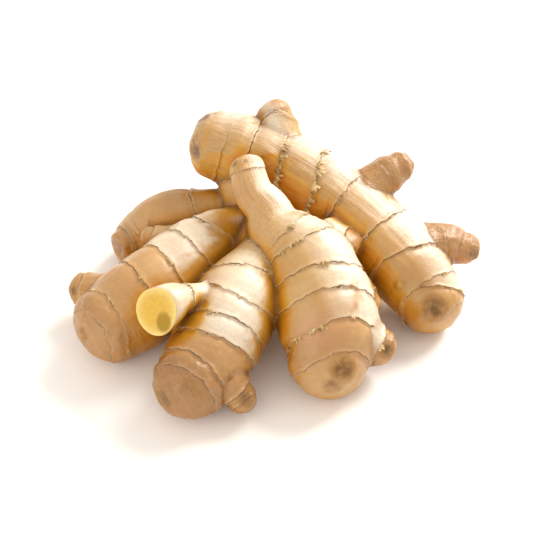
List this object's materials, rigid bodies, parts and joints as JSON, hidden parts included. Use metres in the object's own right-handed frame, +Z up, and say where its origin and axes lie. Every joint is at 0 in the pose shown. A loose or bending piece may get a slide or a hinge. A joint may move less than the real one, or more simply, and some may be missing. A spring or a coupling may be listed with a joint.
{
  "type": "ginger root",
  "caption": "Whole hand of fresh ginger: plump ringed fingers fan out from a low crown, with small knobs and a cut end; lies loose on a table as food to cook with.",
  "frame": {"origin": "middle of the bounding box in plan, on the surface that the hand lies on", "axes": "+X along the hand's longest extent, towards the tip of the long finger; +Y away from the front fingers' tips, towards the back; +Z up"},
  "size_m": [0.1673, 0.1317, 0.0644],
  "materials": {
    "skin": "satin tan skin with thin brown leaf-scar rings; a cut end shows smooth yellow flesh",
    "flesh": "moist smooth yellow flesh of the cut end"
  },
  "bodies": {
    "root": {"ginger_rhizome": "skin"}
  },
  "joints": []
}
